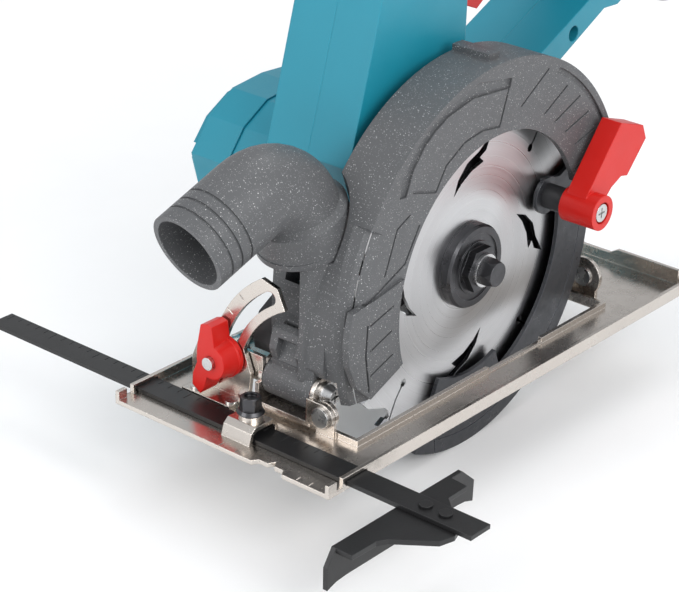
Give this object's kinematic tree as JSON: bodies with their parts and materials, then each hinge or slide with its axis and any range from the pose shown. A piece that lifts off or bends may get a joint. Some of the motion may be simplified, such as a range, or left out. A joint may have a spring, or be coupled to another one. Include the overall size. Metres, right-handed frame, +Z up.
{
  "type": "cordless circular saw",
  "caption": "Cordless circular saw with swinging lower guard, bevelling base plate, rip guide and dust elbow.",
  "frame": {"origin": "on the sole plane, straight under the arbor, in the blade's middle plane", "axes": "+X forward along the cut, +Y towards the blade side, +Z up from the sole"},
  "size_m": [0.3998, 0.2462, 0.2361],
  "materials": {
    "nickel_steel": "satin nickel plate",
    "zinc_steel": "zinc plated",
    "black_steel": "satin black",
    "black_oxide": "black oxide",
    "speckled_grey": "textured grey with light flecks",
    "dark_plastic": "fine texture",
    "guard_steel": "satin dark grey",
    "blade_steel": "radially brushed",
    "carbide": "ground",
    "teal_plastic": "satin moulded",
    "red_plastic": "satin moulded",
    "rotor_iron": "laminated",
    "copper": "enamelled winding",
    "board_green": "potted",
    "cell_wrap": "shrink sleeve",
    "brass": "plain"
  },
  "bodies": {
    "base": {"base_plate": "nickel_steel", "bevel_quadrant": "nickel_steel", "quadrant_rivets": "zinc_steel", "bevel_pivot_rivets": "zinc_steel"},
    "rip_guide": {"rip_guide_bar": "black_steel", "rip_fence": "black_steel", "fence_rivets": "black_steel"},
    "guide_screw": {"guide_clamp_screw": "black_oxide"},
    "tilt_frame": {"front_bracket": "nickel_steel", "rear_depth_guide": "nickel_steel", "bevel_bolt": "zinc_steel", "depth_pivot_screw": "zinc_steel"},
    "wing_nut": {"bevel_wing_nut": "red_plastic"},
    "saw": {"blade_case": "speckled_grey", "gear_cover": "dark_plastic", "gear_cover_screws": "zinc_steel", "guard_spring": "zinc_steel", "bearing_retainer": "zinc_steel", "front_spindle_bearing": "zinc_steel", "rear_spindle_bearing": "zinc_steel", "motor_bearings": "zinc_steel", "stator_core": "rotor_iron", "stator_windings": "copper", "motor_housing": "teal_plastic", "motor_end_cap": "teal_plastic", "end_cap_screws": "black_oxide", "handle_shell_left": "teal_plastic", "handle_shell_right": "teal_plastic", "handle_screws": "black_oxide", "trigger_pin": "zinc_steel", "switch_body": "dark_plastic", "controller": "board_green", "battery_terminals": "brass", "depth_stud": "zinc_steel"},
    "lower_guard": {"lower_guard": "guard_steel", "guard_lever_post": "dark_plastic", "guard_lever": "red_plastic", "lever_screw": "zinc_steel"},
    "arbor": {"blade": "blade_steel", "carbide_tips": "carbide", "inner_flange": "black_oxide", "outer_flange": "black_oxide", "blade_bolt_washer": "zinc_steel", "blade_bolt": "black_oxide", "spindle": "blade_steel", "driven_gear": "rotor_iron"},
    "rotor": {"pinion_shaft": "blade_steel", "rotor_core": "rotor_iron", "cooling_fan": "dark_plastic"},
    "dust_elbow": {"dust_elbow": "speckled_grey"},
    "trigger": {"trigger": "red_plastic"},
    "lock_off": {"lock_off_button": "dark_plastic"},
    "spindle_lock": {"spindle_lock_button": "dark_plastic"},
    "depth_lever": {"depth_lock_lever": "dark_plastic"},
    "battery": {"battery_case": "dark_plastic", "battery_cells": "cell_wrap"},
    "battery_latch": {"battery_latch": "red_plastic"}
  },
  "joints": [
    {"name": "rip_guide_slide", "type": "slide", "parent": "base", "child": "rip_guide", "axis": [0, 1, 0], "range_m": [-0.02, 0.08]},
    {"name": "guide_screw_turn", "type": "hinge", "parent": "base", "child": "guide_screw", "pos_m": [0.1073, -0.018, 0.0109], "axis": [0, 0, 1], "range_deg": [0, 360]},
    {"name": "bevel_tilt", "type": "hinge", "parent": "base", "child": "tilt_frame", "pos_m": [0, 0.004, 0.0105], "axis": [-1, 0, 0], "range_deg": [0, 45]},
    {"name": "wing_nut_turn", "type": "hinge", "parent": "tilt_frame", "child": "wing_nut", "pos_m": [0.0976, -0.04344, 0.02058], "axis": [1, 0, 0], "range_deg": [0, 360]},
    {"name": "depth_swing", "type": "hinge", "parent": "tilt_frame", "child": "saw", "pos_m": [0.0825, 0, 0.0145], "axis": [0, 1, 0], "range_deg": [-4, 16]},
    {"name": "depth_lever_turn", "type": "hinge", "parent": "saw", "child": "depth_lever", "pos_m": [-0.06422, -0.018, 0.04569], "axis": [0, 1, 0], "range_deg": [-20, 50]},
    {"name": "guard_swing", "type": "hinge", "parent": "saw", "child": "lower_guard", "pos_m": [0, 0, 0.042], "axis": [0, 1, 0], "range_deg": [0, 115], "stiffness_Nm_per_rad": 0.05, "springref_deg": -34.38},
    {"name": "blade_spin", "type": "hinge", "parent": "saw", "child": "arbor", "pos_m": [0, 0, 0.042], "axis": [0, 1, 0], "continuous": true},
    {"name": "motor_spin", "type": "hinge", "parent": "saw", "child": "rotor", "pos_m": [0.00806, -0.05, 0.06514], "axis": [0, 1, 0], "continuous": true},
    {"name": "dust_elbow_swivel", "type": "hinge", "parent": "saw", "child": "dust_elbow", "pos_m": [0.077, -0.0187, 0.073], "axis": [0.3746, 0, 0.9272], "range_deg": [-60, 40]},
    {"name": "trigger_pull", "type": "hinge", "parent": "saw", "child": "trigger", "pos_m": [-0.012, -0.037, 0.168], "axis": [0, 1, 0], "range_deg": [0, 12], "stiffness_Nm_per_rad": 0.5, "springref_deg": -20.05},
    {"name": "lock_off_push", "type": "slide", "parent": "saw", "child": "lock_off", "axis": [0, 1, 0], "range_m": [0, 0.0035], "stiffness_N_per_m": 400, "springref_m": -0.003},
    {"name": "spindle_lock_push", "type": "slide", "parent": "saw", "child": "spindle_lock", "axis": [0.9659, 0, -0.2588], "range_m": [0, 0.004], "stiffness_N_per_m": 400, "springref_m": -0.003},
    {"name": "battery_slide", "type": "slide", "parent": "saw", "child": "battery", "axis": [-1, 0, 0], "range_m": [0, 0.1]},
    {"name": "battery_latch_press", "type": "slide", "parent": "battery", "child": "battery_latch", "axis": [1, 0, 0], "range_m": [0, 0.0025], "stiffness_N_per_m": 400, "springref_m": -0.003}
  ],
  "couplings": [
    {"joint": "motor_spin", "follows": "blade_spin", "ratio": -4.4444}
  ]
}
